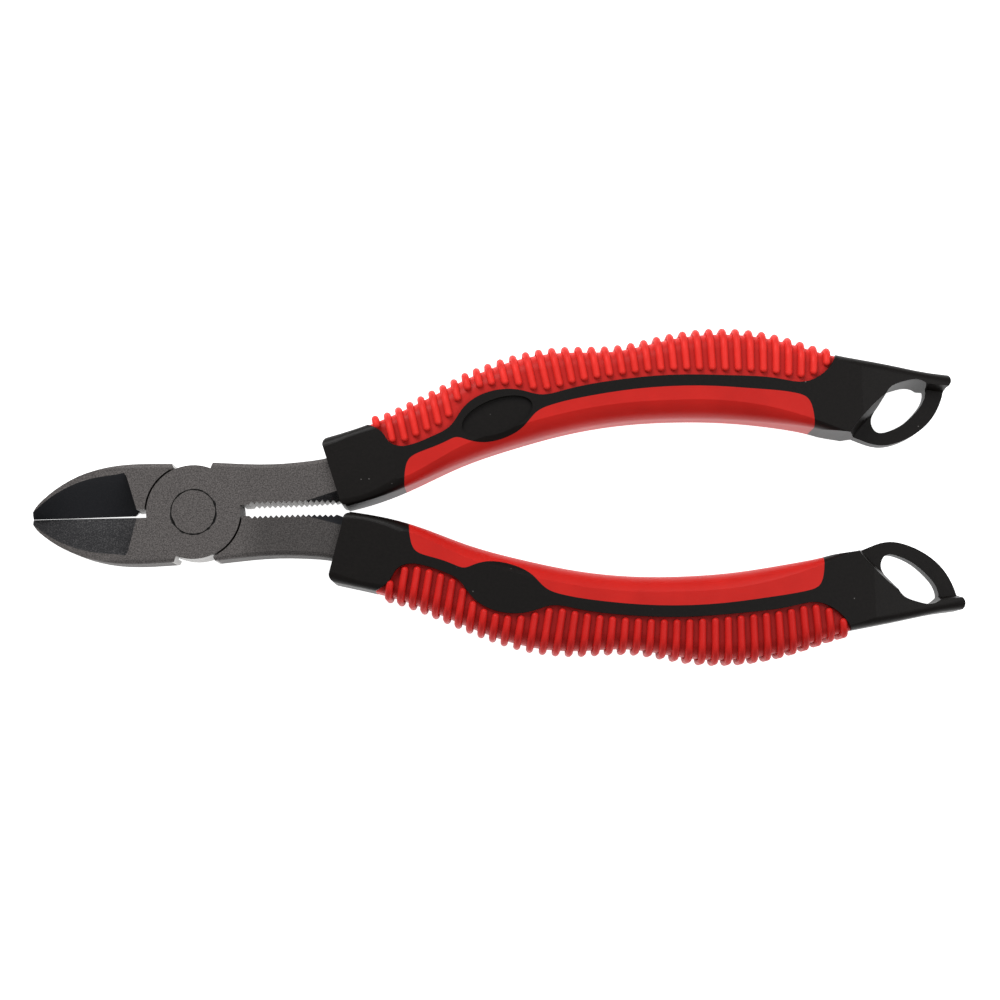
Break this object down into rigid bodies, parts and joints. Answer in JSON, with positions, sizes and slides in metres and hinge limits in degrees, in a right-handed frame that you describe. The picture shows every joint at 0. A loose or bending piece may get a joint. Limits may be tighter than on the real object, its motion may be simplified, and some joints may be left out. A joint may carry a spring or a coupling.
{
  "type": "diagonal cutting pliers",
  "caption": "Hand tool with two pivoting forged jaws that cut wire at an angle, and curved two-material grips with ribbed pads and hang holes.",
  "frame": {"origin": "on the pivot axis, midway between the joint's front and back cheeks", "axes": "+X from the joint to the handles, +Y to the handle of half A, +Z out of the front face along the pivot axis; at rest the tool is closed"},
  "size_m": [0.1728, 0.063, 0.0144],
  "materials": {
    "blasted_steel": "dark speckled sand-blasted steel",
    "rivet_steel": "dark sand-blasted steel",
    "hard_black": "matt black",
    "soft_red_ribbed": "matt red",
    "soft_red_smooth": "satin red"
  },
  "bodies": {
    "half_a": {"jaw_lever_a": "blasted_steel", "pivot_rivet": "rivet_steel", "grip_sleeve_a": "hard_black", "ribbed_pad_a": "soft_red_ribbed", "finger_pad_a": "soft_red_smooth"},
    "half_b": {"jaw_lever_b": "blasted_steel", "grip_sleeve_b": "hard_black", "ribbed_pad_b": "soft_red_ribbed", "finger_pad_b": "soft_red_smooth"}
  },
  "joints": [
    {"name": "pivot", "type": "hinge", "parent": "half_a", "child": "half_b", "pos_m": [0, 0, 0], "axis": [0, 0, -1], "range_deg": [0, 42]}
  ]
}
